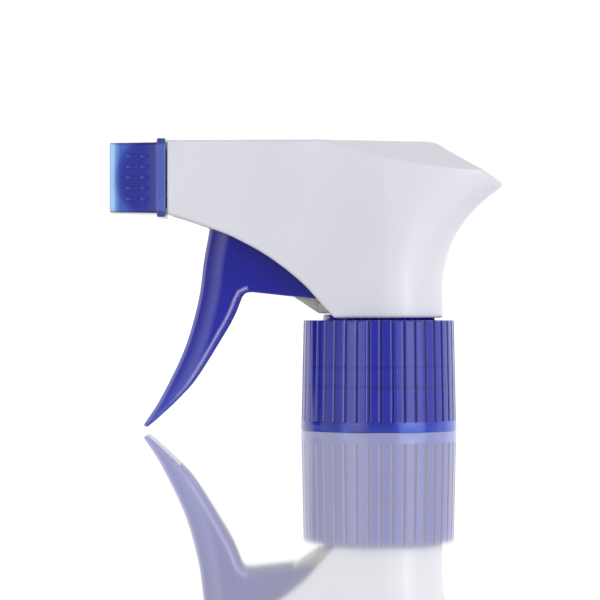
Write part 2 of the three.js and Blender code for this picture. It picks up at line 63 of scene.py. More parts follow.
# Table: a white sheet under glass, part glow and part mirror.
TABLE_GLOW = 0.28
TABLE_MIRROR = 0.72
TABLE_HALF_M = 4.0

# Softboxes: name, bearing from the camera's side, width and height, radiance.
SOFTBOX_AWAY = 600.0
SOFTBOX_HEIGHT = 120
SOFTBOX_AIM = (-15, 0, 30)
SOFTBOXES = [
    ("softbox_left", -38, 500, 560, 0.75), ("softbox_left_mid", -36, 330, 560, 0.4),
    ("softbox_left_core", -35, 170, 560, 0.5), ("softbox_right", 48, 460, 560, 1.28),
    ("strip_right", 48, 100, 520, 6.0),
]

# Closure, and the thread and hole inside it.
RIM_R = 17.0
BAND_H = 2.3
R_BASE = 17.0
R_TOP = 16.55
GRIPS = 40
CLOSURE_H = 24.1
BOSS_R = 12.2
BOSS_TOP = 25.3
BORE_R = 14.1
CREST_R = 12.85
PITCH = 4.23
THREAD_Z = 6.0
THREAD_TURNS = 2.25
CEILING_Z = 22.5
HOLE_R = 9.28
TOP_FILLET = 0.35
PANEL_SETBACK = 0.05
SHARP_CLOSURE = 38
SHARP_THREAD = 50

# Pump body.
BARREL_Z = 55.0
CYLINDER_Z = 38.0
PIVOT = (-40.0, 57.2)
DRUM_Z = 25.6
DRUM_R = 12.4
STEM_R = 4.5
STEM_TOP = 59.3
CYLINDER_R = 6.6
CYLINDER_X = (-23.2, -3.0)
CYLINDER_BORE_R = 5.5
BARREL_R = 4.0
BARREL_X = (-52.0, 3.0)
RIDGE_X = -48.9
SEAL_X = -50.75
PIN_R = 1.6
PIN_HALF = 6.9
PIN_BOSS_R = 2.8
PIN_BOSS_HALF = 5.7

# Trigger.
TRIGGER_HALF = 8.0
CHANNEL_HALF = 6.9
FRONT_ROLL = 2.2
CHANNEL_ROLL = 1.6
EAR_MID = 6.575
EAR_HALF = 0.575
PUSHER = (-31.6, 36.0)
PUSHER_R = 1.3
PUSHER_HALF = 7.3
PIN_HOLE_R = 1.68
RIM_STEP = 0.42
BEAD_H = 0.14

# Shroud.
WALL = 1.2
SHROUD_FRONT = -46.0
SHROUD_TOP = 63.1
SHROUD_BOTTOM = 24.6
FRONT_HALF = 8.55
WRAP_R = 13.95
TAIL_Z = 53.35
TAIL_HALF = 11.0
TAIL_R = 0.95
TAIL_EASE = 3.0
TAIL_KICK = 1.55
TAIL_SQUARE = 0.9
SWEEP_C = (38.93, 31.0)
SWEEP_R = 24.73
PLAN_BLEND = 4.0
BARREL_HOLE_R = 4.35
WEDGE_SLOPE = 0.1196
CREASE_AT = (-43.5, 49.4)
CREASE_NORMAL = (-0.49, 0.872)
CREASE_FALL = 0.035


def build_camera():
    data = bpy.data.cameras.new("camera")
    data.lens = LENS
    data.sensor_width = SENSOR
    data.clip_end = SIGHT_M
    camera = bpy.data.objects.new("camera", data)
    bpy.context.collection.objects.link(camera)
    camera.location = Vector(CAMERA_AT) * MM
    camera.rotation_euler = (math.pi / 2, 0, 0)
    bpy.context.scene.camera = camera
    bpy.context.scene.view_settings.view_transform = "Standard"


build_camera()


# ---------------------------------------------------------------- mesh helpers

def new_object(name, verts, faces, body, node, material, normals=None):
    """Makes a piece from vertices in millimetres and hands it to the frame."""
    mesh = bpy.data.meshes.new(name)
    mesh.from_pydata([tuple(v) for v in np.asarray(verts) * MM], [], [tuple(f) for f in faces])
    mesh.validate()
    mesh.update()
    obj = bpy.data.objects.new(name, mesh)
    bpy.context.collection.objects.link(obj)
    mesh.materials.append(material)
    mesh.polygons.foreach_set("use_smooth", [True] * len(mesh.polygons))
    if normals is not None and len(mesh.vertices) == len(normals):
        mesh.normals_split_custom_set_from_vertices([tuple(n) for n in normals])
    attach(obj, body)
    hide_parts(node)
    return obj


def ring_faces(rings, count, wrap):
    """Quads between successive rings of count points; with wrap, the last ring joins the first."""
    i = np.arange(count)
    j = (i + 1) % count
    faces = []
    for k in range(rings - 1):
        a, b = k * count, (k + 1) * count
        faces += list(zip(a + i, a + j, b + j, b + i))
    if wrap:
        a, b = (rings - 1) * count, 0
        faces += list(zip(a + i, a + j, b + j, b + i))
    return faces


def rounded(profile, radius=0.25, steps=3):
    """Rounds the corners of an open run of (r, h) points; a third number is a corner's own radius."""
    pts = [Vector(p[:2]) for p in profile]
    radii = [p[2] if len(p) > 2 else radius for p in profile]
    out = [pts[0]]
    for k in range(1, len(pts) - 1):
        p, a, b = pts[k], pts[k - 1], pts[k + 1]
        u, v = a - p, b - p
        r = min(radii[k], u.length * 0.45, v.length * 0.45)
        if r < 0.01 or u.length < 1e-6 or v.length < 1e-6:
            out.append(p)
            continue
        s, e = p + u.normalized() * r, p + v.normalized() * r
        for t in (n / steps for n in range(steps + 1)):
            out.append((1 - t) ** 2 * s + 2 * t * (1 - t) * p + t * t * e)
    out.append(pts[-1])
    return [(q.x, q.y) for q in out]


def lathe(name, profile, axis, centre, body, node, material, count=96, radius=0.2):
    """Turned piece. An open profile starts and ends on the axis; a closed one repeats its start."""
    closed = math.dist(profile[0][:2], profile[-1][:2]) < 1e-9
    if closed:
        # The run overlaps itself by a point at each end, so the first corner is rounded too.
        loop = list(profile[:-1])
        pts = rounded(loop[-1:] + loop + loop[:1], radius)[1:-1]
    else:
        pts = rounded(profile, radius)[1:-1]
    angle = np.arange(count) / count * 2 * math.pi
    verts = []
    for r, h in pts:
        y, z = r * np.cos(angle), r * np.sin(angle)
        if axis == "x":
            verts.append(np.stack([np.full(count, h), y + centre[0], z + centre[1]], 1))
        else:
            verts.append(np.stack([y + centre[0], z + centre[1], np.full(count, h)], 1))
    verts = np.concatenate(verts)
    faces = ring_faces(len(pts), count, closed)
    if not closed:
        for ring, (r, h) in ((0, profile[0][:2]), (len(pts) - 1, profile[-1][:2])):
            hub = len(verts)
            tip = (h, *centre) if axis == "x" else (*centre, h)
            verts = np.vstack([verts, tip])
            base = ring * count
            for i in range(count):
                pair = (base + i, base + (i + 1) % count)
                faces.append((hub, *(pair if ring else pair[::-1])))
    obj = new_object(name, verts, faces, body, node, material)
    tidy_normals(obj)
    return obj


def tidy_normals(obj):
    """Turns every face outwards."""
    bm = bmesh.new()
    bm.from_mesh(obj.data)
    bmesh.ops.recalc_face_normals(bm, faces=bm.faces)
    bm.to_mesh(obj.data)
    bm.free()


# ------------------------------------------------------------- implicit shapes

def polyline_sdf(points):
    """Signed distance to a closed polygon, as a function of two arrays."""
    pts = np.asarray(points, float)
    nxt = np.roll(pts, -1, axis=0)

    def distance(u, v):
        u, v = np.broadcast_arrays(u, v)
        best = np.full(u.shape, 1e9)
        inside = np.zeros(u.shape, bool)
        for (ax, ay), (bx, by) in zip(pts, nxt):
            ex, ey = bx - ax, by - ay
            length = ex * ex + ey * ey
            if length < 1e-12:
                continue
            wx, wy = u - ax, v - ay
            t = np.clip((wx * ex + wy * ey) / length, 0, 1)
            dx, dy = wx - ex * t, wy - ey * t
            best = np.minimum(best, dx * dx + dy * dy)
            if ay != by:
                crosses = (ay > v) != (by > v)
                inside ^= crosses & (u < ex * (v - ay) / ey + ax)
        return np.where(inside, -1, 1) * np.sqrt(best)

    return distance


def smooth_path(points, steps=6):
    """Catmull-Rom points through an open run of points."""
    p = np.asarray(points, float)
    p = np.vstack([2 * p[0] - p[1], p, 2 * p[-1] - p[-2]])
    out = []
    for k in range(1, len(p) - 2):
        a, b, c, d = p[k - 1], p[k], p[k + 1], p[k + 2]
        for t in np.arange(steps) / steps:
            out.append(0.5 * (2 * b + (c - a) * t + (2 * a - 5 * b + 4 * c - d) * t ** 2
                              + (3 * b - a - 3 * c + d) * t ** 3))
    out.append(p[-2])
    return [tuple(q) for q in out]


def arc(cx, cz, r, a0, a1, steps=24):
    """Points on an arc between two angles in degrees."""
    return [(cx + r * math.cos(a), cz + r * math.sin(a))
            for a in np.radians(np.linspace(a0, a1, steps + 1))]


def both(a, b, r):
    """Intersection with a round edge of radius r."""
    u, v = np.maximum(r + a, 0), np.maximum(r + b, 0)
    return np.minimum(-r, np.maximum(a, b)) + np.sqrt(u * u + v * v)


def either(a, b, r):
    """Union with a fillet of radius r."""
    return -both(-a, -b, r)


def less(a, b, r):
    """The first shape with the second cut from it."""
    return both(a, -b, r)


def tube(y, z, x, r, x0, x1, edge):
    """Round bar along the third argument's axis, from x0 to x1."""
    radial = np.sqrt(y * y + z * z) - r
    return both(radial, np.maximum(x0 - x, x - x1), edge)


def block(x, y, z, lo, hi, edge):
    """Box between two corners, with round edges."""
    fx = np.maximum(lo[0] - x, x - hi[0])
    fy = np.maximum(lo[1] - y, y - hi[1])
    fz = np.maximum(lo[2] - z, z - hi[2])
    return both(both(fx, fy, edge), fz, edge)


def gradient(shape, p, h=0.01):
    """Slope of a shape's field at each point, by central differences."""
    g = np.empty_like(p)
    for k in range(3):
        d = np.zeros(3)
        d[k] = h
        a, b = p + d, p - d
        g[:, k] = (shape(*a.T) - shape(*b.T)) / (2 * h)
    return g


def surface(shape, lo, hi, step, settle=4):
    """Surface net of the zero level of shape, drawn tight on to it, with its normals."""
    axes = [np.arange(lo[k], hi[k] + step, step) for k in range(3)]
    x, y, z = axes[0][:, None, None], axes[1][None, :, None], axes[2][None, None, :]
    field = np.asarray(shape(x, y, z))
    field = np.broadcast_to(field, tuple(len(a) for a in axes)).copy()
    inside = field < 0
    cells = tuple(n - 1 for n in field.shape)
    total = np.zeros(cells + (3,))
    hits = np.zeros(cells)
    corners = [(i, j, k) for i in (0, 1) for j in (0, 1) for k in (0, 1)]
    for c in corners:
        for d in range(3):
            if c[d]:
                continue
            e = tuple(c[k] + (k == d) for k in range(3))
            sa = tuple(slice(c[k], c[k] + cells[k]) for k in range(3))
            sb = tuple(slice(e[k], e[k] + cells[k]) for k in range(3))
            cross = inside[sa] != inside[sb]
            gap = np.where(cross, field[sa] - field[sb], 1)
            t = np.where(cross, field[sa] / gap, 0)
            for k in range(3):
                total[..., k] += cross * (c[k] + (t if k == d else 0))
            hits += cross
    used = hits > 0
    index = np.full(cells, -1)
    index[used] = np.arange(used.sum())
    where = np.argwhere(used)
    verts = (where + total[used] / hits[used][:, None]) * step + np.array(lo)
    faces = []
    for d in range(3):
        e1, e2 = (d + 1) % 3, (d + 2) % 3
        span = [slice(1, n - 1) for n in field.shape]
        span[d] = slice(0, field.shape[d] - 1)
        a = inside[tuple(span)]
        span[d] = slice(1, field.shape[d])
        b = inside[tuple(span)]
        for flip, mask in ((False, a & ~b), (True, b & ~a)):
            at = np.argwhere(mask)
            at += [0 if k == d else 1 for k in range(3)]
            quad = []
            for o1, o2 in ((1, 1), (0, 1), (0, 0), (1, 0)):
                q = at.copy()
                q[:, e1] -= o1
                q[:, e2] -= o2
                quad.append(index[q[:, 0], q[:, 1], q[:, 2]])
            quad = np.stack(quad[::-1] if flip else quad, 1)
            faces.append(quad)
    faces = np.concatenate(faces)
    for _ in range(settle):
        g = gradient(shape, verts)
        f = shape(*verts.T)
        size = np.maximum((g * g).sum(1), 0.05)
        move = np.clip(f / size, -step, step)[:, None] * g
        verts = verts - move
    n = gradient(shape, verts)
    n /= np.maximum(np.linalg.norm(n, axis=1), 1e-9)[:, None]
    return verts, faces, n


def carve(name, shape, lo, hi, step, body, node, material):
    """Makes a piece from an implicit shape."""
    verts, faces, normals = surface(shape, lo, hi, step)
    return new_object(name, verts, faces, body, node, material, normals)


# -------------------------------------------------------------------- materials

def srgb(r, g, b):
    """Linear colour of an 8-bit screen colour."""
    def one(c):
        c /= 255
        return c / 12.92 if c <= 0.04045 else ((c + 0.055) / 1.055) ** 2.4
    return (one(r), one(g), one(b), 1.0)


# Flow clouds and grain of moulded plastic.
CLOUDS_PER_MM = 0.05
GRAIN_PER_MM = 2.5
GRAIN_DEPTH = 0.0006


class Graph:
    """Short way to wire a material's nodes."""

    def __init__(self, name):
        self.material = bpy.data.materials.new(name)
        self.material.use_nodes = True
        self.tree = self.material.node_tree
        self.shader = self.tree.nodes["Principled BSDF"]
        self.place = self.node("ShaderNodeTexCoord").outputs["Object"]

    def node(self, kind, inputs=None, **settings):
        n = self.tree.nodes.new(kind)
        for key, value in settings.items():
            setattr(n, key, value)
        for key, value in (inputs or {}).items():
            self.put(n.inputs[key], value)
        return n

    def put(self, socket, value):
        if isinstance(value, bpy.types.NodeSocket):
            self.tree.links.new(value, socket)
        else:
            socket.default_value = value

    def set(self, **values):
        """Sets or wires the shader's own inputs."""
        for key, value in values.items():
            self.put(self.shader.inputs[key.replace("_", " ")], value)

    def noise(self, per_mm, detail=2.0, stretch=(1, 1, 1)):
        scaled = self.node("ShaderNodeMapping", {"Vector": self.place, "Scale": stretch})
        return self.node("ShaderNodeTexNoise", {
            "Vector": scaled.outputs["Vector"], "Scale": per_mm / MM, "Detail": detail,
        }).outputs["Fac"]

    def ramp(self, factor, stops):
        n = self.node("ShaderNodeValToRGB", {"Fac": factor})
        while len(n.color_ramp.elements) < len(stops):
            n.color_ramp.elements.new(0.5)
        for element, (at, colour) in zip(n.color_ramp.elements, stops):
            element.position = at
            element.color = colour
        return n.outputs["Color"]

    def span(self, value, low, high):
        """A 0 to 1 factor brought to low to high."""
        return self.node("ShaderNodeMapRange", {
            "Value": value, "From Min": 0.25, "From Max": 0.75, "To Min": low, "To Max": high,
        }).outputs["Result"]

    def mix(self, factor, a, b):
        """From colour a to colour b as the factor goes from 0 to 1."""
        n = self.node("ShaderNodeMix", {"Factor": factor}, data_type="RGBA")
        self.put(n.inputs[6], a)
        self.put(n.inputs[7], b)
        return n.outputs[2]

    def tint(self, colour, by):
        """One colour multiplied by another."""
        n = self.node("ShaderNodeMix", {"Factor": 1.0}, data_type="RGBA", blend_type="MULTIPLY")
        self.put(n.inputs[6], colour)
        self.put(n.inputs[7], by)
        return n.outputs[2]

    def along(self, which, low, high):
        """0 to 1 between two places in millimetres on an axis."""
        return self.node("ShaderNodeMapRange", {
            "Value": self.axis(which), "From Min": low * MM, "From Max": high * MM,
        }).outputs["Result"]

    def math(self, operation, a, *others):
        n = self.node("ShaderNodeMath", operation=operation)
        for socket, value in zip(n.inputs, (a, *others)):
            self.put(socket, value)
        return n.outputs["Value"]

    def bump(self, height, depth_mm):
        inputs = {"Height": height, "Distance": depth_mm * MM, "Strength": 1.0}
        return self.node("ShaderNodeBump", inputs).outputs["Normal"]

    def axis(self, which):
        split = self.node("ShaderNodeSeparateXYZ", {"Vector": self.place})
        return split.outputs["XYZ".index(which)]


def moulded(name, dark, light, rough, clear=0.0, inner=0.0, coat=0.0, shade=None):
    """Injection moulded plastic: faint flow clouds and fine spark-eroded grain."""
    g = Graph(name)
    clouds = g.noise(CLOUDS_PER_MM, 3.0, (1.0, 1.0, 0.6))
    colour = g.ramp(clouds, [(0.3, dark), (0.7, light)])
    if shade:
        colour = g.tint(colour, shade(g))
    g.set(Base_Color=colour)
    g.set(Roughness=g.span(clouds, rough * 0.93, rough * 1.07))
    g.set(Normal=g.bump(g.noise(GRAIN_PER_MM, 2.0), GRAIN_DEPTH))
    g.set(IOR=1.49)
    if clear:
        g.set(Transmission_Weight=clear)
    if inner:
        g.set(Subsurface_Weight=inner, Subsurface_Radius=(0.6, 0.7, 1.0), Subsurface_Scale=0.0025)
    if coat:
        g.set(Coat_Weight=coat, Coat_Roughness=0.12)
    return g.material


def metal(name, colour, rough, drawn):
    """Steel with faint streaks; the smaller drawn is, the longer they run round the piece."""
    g = Graph(name)
    streaks = g.noise(0.8, 3.0, (1.0, drawn, drawn))
    dim = tuple(c * 0.75 for c in colour[:3]) + (1.0,)
    g.set(Base_Color=g.ramp(streaks, [(0.3, dim), (0.7, colour)]), Metallic=1.0)
    g.set(Roughness=g.span(streaks, rough * 0.8, rough * 1.3))
    g.set(Normal=g.bump(g.noise(3.0, 2.0), 0.002))
    return g.material


def grey(v):
    return (v, v, v, 1.0)


# Shades multiply a plastic's colour with painted light fixed to the piece: the glow of light that
# scatters inside it, painted highlights and painted shade.

def lever_painted_light(g):
    """Painted shade deeper towards the trigger's web under the shroud, a painted glow lighter lower
    down, and a painted highlight line from the strength stored at each vertex.
    """
    # Painted light by height: a bright glow at the foot of the lever, painted shade at the web under
    # the shroud.
    depth = g.ramp(g.along("Z", 2.0, 44.0), [
        (0.0, (2.6, 4.2, 1.5, 1)), (0.2, (1.1, 1.8, 1.2, 1)), (0.5, (0.6, 0.8, 1.05, 1)),
        (0.75, (0.4, 0.4, 0.85, 1)), (1.0, (0.2, 0.2, 0.72, 1))])
    # Painted highlight: a pale line along the lever's edges, from the strength stored at each vertex.
    painted_edge_light = g.node("ShaderNodeAttribute", attribute_name="painted_edge_light").outputs["Fac"]
    return g.mix(painted_edge_light, depth, (30.0, 27.0, 2.4, 1.0))


def skirt_painted_light(g):
    """Faint thread lines, a painted highlight and painted shade on the two walls of each groove, and a
    brighter, patchy band at the rim.
    """
    high = g.along("Z", 0.0, CLOSURE_H)
    lines = g.ramp(high, [
        (0.0, (1.3, 2.4, 1.35, 1)), (0.085, (1.2, 1.8, 1.25, 1)), (0.1, grey(1.0)),
        (0.385, grey(1.0)), (0.4, grey(0.78)), (0.415, grey(0.78)), (0.43, grey(1.0)),
        (0.56, grey(1.0)), (0.575, grey(0.78)), (0.59, grey(0.78)), (0.605, grey(1.0)),
    ])
    around = g.math("ARCTAN2", g.axis("Y"), g.axis("X"))
    phase = g.math("FRACT", g.math("MULTIPLY_ADD", around, GRIPS / (2 * math.pi), 0.5))
    # Painted highlight on one wall of each groove and painted shade on the other wall.
    painted_edge_light = g.ramp(phase, [
        (0.0, grey(1.0)), (0.33, grey(1.0)), (0.365, (13.0, 10.0, 1.9, 1)), (0.4, (13.0, 10.0, 1.9, 1)),
        (0.45, grey(0.8)), (0.55, grey(0.45)), (0.61, grey(0.45)), (0.66, grey(1.0)),
    ])
    on_grips = g.ramp(high, [(0.0, grey(0.0)), (0.096, grey(0.0)), (0.1, grey(1.0)), (1.0, grey(1.0))])
    patches = g.ramp(g.noise(0.16, 1.0, (1.0, 1.0, 0.4)), [
        (0.42, grey(0.8)), (0.5, grey(1.0)), (0.56, (1.3, 2.0, 1.2, 1)), (0.64, (2.0, 2.6, 1.25, 1))])
    return g.tint(lines, g.mix(on_grips, patches, painted_edge_light))


def cap_painted_light(g):
    """Painted glow, pale at the open face of the nozzle, deep over its core, paler again at the flange,
    and painted shade along the top and bottom edges of its sides.
    """
    along = g.along("X", -58.4, -46.3)
    high = g.math("ABSOLUTE", g.math("SUBTRACT", g.along("Z", BARREL_Z - 7.6, BARREL_Z + 7.6), 0.5))
    bow = g.math("MULTIPLY", g.math("POWER", high, 2.0), 1.1)
    # Painted glow: pale at the thin open end and its corners, fading to the deep core.
    core = g.ramp(g.math("SUBTRACT", along, bow), [
        (0.0, (1.3, 2.1, 1.35, 1)), (0.07, (1.15, 1.8, 1.28, 1)), (0.14, (0.7, 0.95, 1.04, 1)),
        (0.24, (0.42, 0.48, 0.84, 1)), (1.0, (0.36, 0.36, 0.76, 1)),
    ])
    # Painted light at the open face and over the flange.
    ends = g.ramp(along, [
        (0.0, (1.5, 1.8, 1.2, 1)), (0.01, (2.2, 2.4, 1.3, 1)), (0.022, (7.0, 5.2, 1.9, 1)),
        (0.07, (6.4, 4.8, 1.8, 1)), (0.115, (2.4, 2.4, 1.35, 1)),
        (0.19, grey(1.0)), (0.81, grey(1.0)), (0.835, (5.0, 4.4, 1.6, 1)), (0.9, (4.8, 4.4, 1.6, 1)),
        (0.92, (4.6, 5.4, 1.6, 1)), (1.0, (4.6, 5.4, 1.6, 1)),
    ])
    # Painted shade: a darker line along the top and bottom edges of the sides.
    edge = g.ramp(high, [(0.0, grey(1.0)), (0.462, grey(1.0)), (0.485, grey(0.5)), (0.5, grey(0.5))])
    return g.tint(g.tint(core, ends), edge)


WHITE = moulded("shroud_white", srgb(225, 225, 235), srgb(231, 231, 240), 0.24)
TRIGGER_BLUE = moulded("trigger_blue", srgb(30, 30, 155), srgb(37, 38, 168), 0.26, coat=0.25,
                       shade=lever_painted_light)
CLOSURE_BLUE = moulded("closure_blue", srgb(28, 32, 158), srgb(36, 41, 174), 0.2, coat=0.45,
                       shade=skirt_painted_light)
NOZZLE_BLUE = moulded("nozzle_blue", srgb(64, 74, 178), srgb(72, 82, 190), 0.22, clear=0.15, coat=0.3,
                      shade=cap_painted_light)
NATURAL = moulded("natural_plastic", srgb(250, 238, 230), srgb(253, 247, 242), 0.36, clear=0.3,
                  inner=0.5)
SEAL_WHITE = moulded("seal_white", srgb(226, 226, 222), srgb(238, 238, 235), 0.5, inner=0.3)
RUBBER = moulded("seal_rubber", srgb(24, 24, 26), srgb(38, 38, 40), 0.6)
WIRE = metal("spring_steel", srgb(196, 199, 205), 0.28, 0.2)
BALL = metal("ball_steel", srgb(214, 217, 222), 0.12, 1.0)


# ------------------------------------------------------------------------ shroud

def rear_reach(z, inset=0.0):
    """Reach of the back in plan: follows the hand rest, and runs smoothly past the tail's tip."""
    height = TAIL_Z - SWEEP_C[1]
    gap = TAIL_Z - z
    dz = np.clip(height - 0.5 * (gap + np.sqrt(gap * gap + TAIL_EASE ** 2)), 0, height)
    rise = np.clip((z - SWEEP_C[1]) / height, 0, 1.1)
    return SWEEP_C[0] - np.sqrt(SWEEP_R ** 2 - dz * dz) + TAIL_KICK * rise ** 4 - inset


def shroud_plan(x, y, z, inset):
    """Wedge in front, rounded back whose reach follows the hand rest."""
    half, r, nose = FRONT_HALF - inset, WRAP_R - inset, SHROUD_FRONT + inset
    far = math.hypot(nose, half)
    touch = math.atan2(half, nose) - math.acos(r / far)
    front = x * math.cos(touch) + np.abs(y) * math.sin(touch) - r
    lift = np.clip((z - SWEEP_C[1]) / (TAIL_Z - SWEEP_C[1]), 0, 1)
    lift = lift * lift * (3 - 2 * lift)
    power = 2.0 + TAIL_SQUARE * lift
    reach = rear_reach(z, inset)
    along = np.clip(x / reach, 0, 1.5)
    squeeze = 1 - (1 - TAIL_HALF / WRAP_R) * lift * along ** 1.5
    norm = (along ** power + (np.abs(y) / (r * squeeze)) ** power) ** (1 / power)
    back = (norm - 1) * r
    turn = r * math.cos(touch)
    blend = np.clip((x - turn) / PLAN_BLEND, 0, 1)
    return np.where(x < turn, front, front * (1 - blend) + back * blend)


def shroud_side(inset):
    """Side outline of the shroud, or of its hollow when there is an inset."""
    top = SHROUD_TOP - inset
    r = SWEEP_R + inset
    nose = SHROUD_FRONT + inset
    if inset:
        lower = [(nose, 10.0), (SWEEP_C[0] - r, 10.0)]
        rise = 21.0
    else:
        lower = smooth_path([(-46.0, 47.1), (-41.9, 45.9), (-36.8, 44.1), (-31.7, 42.1),
                             (-24.1, 37.9), (-17.0, 32.4), (-12.9, 28.0), (-10.7, 25.5)])
        lower += [(-9.8, SHROUD_BOTTOM), (SWEEP_C[0] - r + 0.1, SHROUD_BOTTOM)]
        rise = 21.4
    sweep = arc(*SWEEP_C, r, 180, 180 - math.degrees(math.asin(rise / r)), 30)
    tail = [(24.3, 54.1)] if inset else arc(26.13, TAIL_Z, TAIL_R, -50, 55, 8)
    slope = [(14.5 - inset * 0.6, 61.45 - inset), (13.9 - inset * 0.5, top - 1.15),
             (12.9 - inset * 0.5, top - 0.5), (11.9 - inset * 0.5, top - 0.14),
             (10.8 - inset * 0.5, top)]
    return polyline_sdf(lower + sweep + tail + slope + [(nose, top)])


def facet(x, y, z, drop):
    """Sloping flank between the roof and the side, from the middle to the tail."""
    a = np.array((-12.8, 12.4, SHROUD_TOP - drop))
    b = np.array((23.5, 11.6, 55.6 - drop))
    c = np.array((8.0, 3.5, SHROUD_TOP - drop))
    n = np.cross(c - a, b - a)
    n /= np.linalg.norm(n)
    n *= np.sign(n[2])
    return (x - a[0]) * n[0] + (np.abs(y) - a[1]) * n[1] + (z - a[2]) * n[2]


def nose_facet(x, y, z, inset):
    """Faint flat on each side of the nose, above a crease that climbs from its lower corner."""
    above = (z - CREASE_AT[1]) * CREASE_NORMAL[1] + (x - CREASE_AT[0]) * CREASE_NORMAL[0]
    wedge = FRONT_HALF + WEDGE_SLOPE * (x - SHROUD_FRONT)
    return np.abs(y) - wedge + inset + above * CREASE_FALL


def shroud_form(x, y, z, inset, side, edge):
    """Solid of the shroud drawn in by an inset."""
    form = both(side(x, z), shroud_plan(x, y, z, inset), edge)
    form = both(form, nose_facet(x, y, z, inset), 0.05)
    return both(form, facet(x, y, z, inset * 1.1), edge * 0.6)


OUTER_SIDE = shroud_side(0.0)
INNER_SIDE = shroud_side(WALL)


def shroud_shape(x, y, z):
    """Hollow shell, open underneath, with a hole in its front for the barrel."""
    outer = shroud_form(x, y, z, 0.0, OUTER_SIDE, 0.7)
    inner = shroud_form(x, y, z, WALL, INNER_SIDE, 0.4)
    shell = less(outer, inner, 0.3)
    hole = np.sqrt(y * y + (z - BARREL_Z) ** 2) - BARREL_HOLE_R
    return less(shell, both(hole, np.abs(x - SHROUD_FRONT) - 4.0, 0.1), 0.2)


carve("shroud_shell", shroud_shape, (-46.9, -14.9, 24.0), (28.2, 14.9, 64.1), 0.5,
      "head", "shroud", WHITE)


# ----------------------------------------------------------------------- closure

GROOVE_DEPTH = 0.45
# Section across one groove: distance from its middle, and how much of the depth is left.
GROOVE_SECTION = [(0.0, 1.0), (0.06, 0.99), (0.12, 0.9), (0.18, 0.72), (0.24, 0.5), (0.3, 0.29),
                  (0.36, 0.13), (0.42, 0.03), (0.47, 0.0), (0.9, 0.0)]


def grip_angles():
    """Angles round the closure, close together in the grooves and sparse on the panels."""
    half = math.pi / GRIPS
    offsets = [d / R_BASE for d, _ in GROOVE_SECTION]
    one = sorted([-a for a in offsets[1:]] + offsets + [half])
    return np.concatenate([np.array(one) + 2 * half * k for k in range(GRIPS)])


def groove(angle):
    """1 on a grip panel, 0 in the floor of a groove."""
    half = math.pi / GRIPS
    away = np.abs((angle + half) % (2 * half) - half) * R_BASE
    return 1 - np.interp(away, *zip(*GROOVE_SECTION))


def flat_panel(angle):
    """How far each angle of a flat panel lies inside the circle through its edges."""
    half = math.pi / GRIPS
    a = np.abs(angle % (2 * half) - half)
    return 1 - np.cos(half) / np.cos(a)


def closure_rows(angle):
    """Rings of the closure as radii and heights: up the outside, over the boss, down the bore."""
    ones = np.ones_like(angle)
    panel = groove(angle)
    flat = 1 - flat_panel(angle)
    rows = []

    def plain(*points):
        for r, z in points:
            rows.append((r * ones, z * ones))

    plain((14.75, 0.0), (15.7, 0.0), (RIM_R - 0.4, 0.0), (RIM_R - 0.18, 0.05),
          (RIM_R - 0.05, 0.18), (RIM_R, 0.4), (RIM_R, 1.2), (RIM_R, BAND_H - 0.3))
    low, high = BAND_H, CLOSURE_H - TOP_FILLET

    def grip(z, depth, tuck=0.0):
        """A ring of flat panels; depth is how much of the grooves' depth it has."""
        r = R_BASE + (R_TOP - R_BASE) * (z - low) / (high - low)
        rows.append(((r - PANEL_SETBACK) * flat - tuck - GROOVE_DEPTH * depth * (1 - panel), z * ones))

    for z, depth in ((low - 0.06, 0.0), (low + 0.02, 0.5), (low + 0.08, 0.9), (low + 0.2, 1.0)):
        grip(z, depth)
    for z in np.linspace(low + 1.2, high - 0.3, 12):
        grip(z, 1.0)
    for t in np.linspace(0, 1, 6):
        a = t * math.pi / 2
        grip(high + TOP_FILLET * math.sin(a), 1 - 0.6 * t, TOP_FILLET * (1 - math.cos(a)))
    plain((15.8, CLOSURE_H), (12.7, CLOSURE_H), (12.4, 24.14), (12.22, 24.4), (BOSS_R, 24.9),
          (12.12, 25.18), (11.9, BOSS_TOP), (9.7, BOSS_TOP), (9.4, 25.22), (HOLE_R, 25.0),
          (HOLE_R, 22.8), (9.4, 22.55), (9.7, CEILING_Z), (13.6, CEILING_Z), (13.95, 22.35),
          (BORE_R, 22.0), (BORE_R, 15.0), (BORE_R, 8.0), (BORE_R, 1.0), (BORE_R + 0.05, 0.85),
          (14.35, 0.35), (14.6, 0.06))
    return rows


def build_closure():
    """Skirt, grips, boss and bore in one closed ring of rings."""
    angle = grip_angles()
    count = len(angle)
    rows = closure_rows(angle)
    rings = [np.stack([r * np.cos(angle), r * np.sin(angle), z], 1) for r, z in rows]
    verts = np.concatenate(rings)
    obj = new_object("closure_skirt", verts, ring_faces(len(rows), count, True),
                     "closure", "closure", CLOSURE_BLUE)
    tidy_normals(obj)
    obj.data.set_sharp_from_angle(angle=math.radians(SHARP_CLOSURE))


# Section across the thread: radius and height, from the root buried in the wall to the crest.
THREAD_ROOT = BORE_R + 0.25
THREAD_SECTION = [(THREAD_ROOT, -1.25), (BORE_R, -1.15), (CREST_R + 0.16, -0.55),
                  (CREST_R + 0.04, -0.46), (CREST_R, -0.36), (CREST_R, 0.36),
                  (CREST_R + 0.04, 0.46), (CREST_R + 0.16, 0.55), (BORE_R, 1.15),
                  (THREAD_ROOT, 1.25)]
THREAD_FADE = 0.2
THREAD_SUNK = 0.12
THREAD_STEPS = 72


